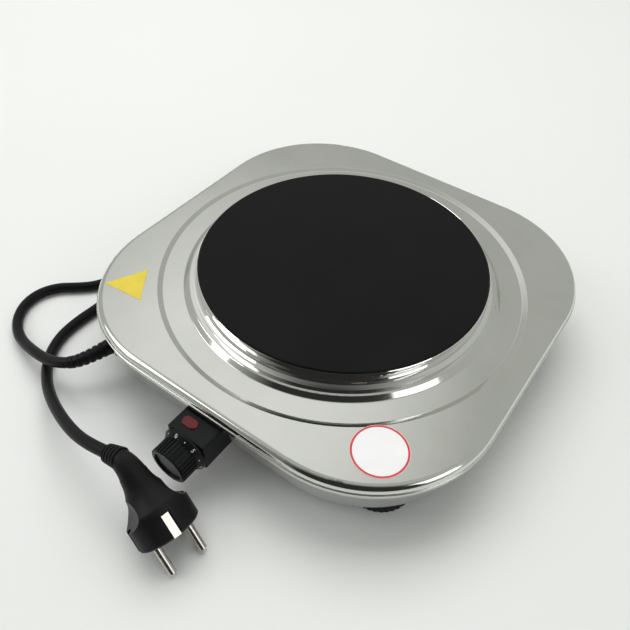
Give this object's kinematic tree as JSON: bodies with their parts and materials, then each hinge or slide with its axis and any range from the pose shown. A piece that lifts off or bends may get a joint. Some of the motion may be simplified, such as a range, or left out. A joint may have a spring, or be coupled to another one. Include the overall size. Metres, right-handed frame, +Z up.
{
  "type": "hot plate burner",
  "caption": "Square steel countertop hot plate with a round cast-iron plate, a thermostat knob, an indicator lamp, fluted feet and a mains lead with plug",
  "frame": {"origin": "On the floor at the centre of the footprint, measured with the control and without the lead. The plate's axis is 14.8 mm behind it, towards +Y.", "axes": "+Z up, -Y towards the control knob, +X to the right when facing the knob. The plate's vertical axis is parallel to +Z and the knob's axis is parallel to +Y."},
  "size_m": [0.3194, 0.364, 0.058],
  "materials": {
    "shell_steel": "bright satin, faint polishing marks",
    "pan_paint": "pale grey semi-gloss",
    "bracket_steel": "zinc-plated",
    "foot_plastic": "matt black",
    "screw_steel": "zinc-plated",
    "plate_iron": "black heat-resistant coating, matt",
    "ring_chrome": "polished",
    "heater_alloy": "dull",
    "ceramic": "unglazed ceramic",
    "control_plastic": "black semi-gloss",
    "knob_plastic": "black satin",
    "lamp_red": "translucent red",
    "lamp_glass": "clear",
    "contact_brass": "plain",
    "cord_rubber": "black satin",
    "wire_live": "brown insulation",
    "wire_neutral": "blue insulation",
    "wire_earth": "green-yellow insulation",
    "plug_plastic": "black moulded",
    "pin_metal": "nickel-plated",
    "label_yellow": "printed film",
    "label_white": "printed film"
  },
  "bodies": {
    "base": {"top_shell": "shell_steel", "base_pan": "pan_paint", "corner_brackets": "bracket_steel", "foot_front_left": "foot_plastic", "foot_front_right": "foot_plastic", "foot_back_left": "foot_plastic", "foot_back_right": "foot_plastic", "foot_screws": "screw_steel", "heating_plate": "plate_iron", "plate_trim_ring": "ring_chrome", "heater_rings": "heater_alloy", "ceramic_fill": "ceramic", "heat_shield": "bracket_steel", "plate_bridge": "bracket_steel", "plate_stud": "screw_steel", "stud_washer": "screw_steel", "stud_nut": "screw_steel", "plate_terminal_strip": "ceramic", "plate_terminal_pins": "contact_brass", "thermal_limiter": "ceramic", "control_housing": "control_plastic", "lamp_lens": "lamp_red", "neon_lamp": "lamp_glass", "housing_screws": "screw_steel", "thermostat_body": "ceramic", "thermostat_nut": "contact_brass", "contact_spring": "contact_brass", "cord_gland": "cord_rubber", "inner_sheath": "cord_rubber", "cord_clamp": "foot_plastic", "clamp_screws": "screw_steel", "terminal_block": "ceramic", "terminal_screws": "contact_brass", "earth_screw": "screw_steel", "live_wire": "wire_live", "heater_wire": "wire_live", "neutral_wire": "wire_neutral", "earth_wire": "wire_earth", "triangle_label": "label_yellow", "round_label": "label_white", "power_cord": "cord_rubber", "plug_body": "plug_plastic", "plug_pins": "pin_metal", "plug_earth_clips": "pin_metal"},
    "dial": {"knob": "knob_plastic", "control_shaft": "screw_steel"},
    "adjuster": {"adjusting_pin": "contact_brass"}
  },
  "joints": [
    {"name": "knob_turn", "type": "hinge", "parent": "base", "child": "dial", "pos_m": [0, -0.1352, 0.026], "axis": [0, 1, 0], "range_deg": [0, 305]},
    {"name": "adjuster_slide", "type": "slide", "parent": "base", "child": "adjuster", "axis": [0, 1, 0], "range_m": [0, 0.0017]}
  ],
  "couplings": [
    {"joint": "adjuster_slide", "follows": "knob_turn", "m_per_rad": 0.000316}
  ]
}
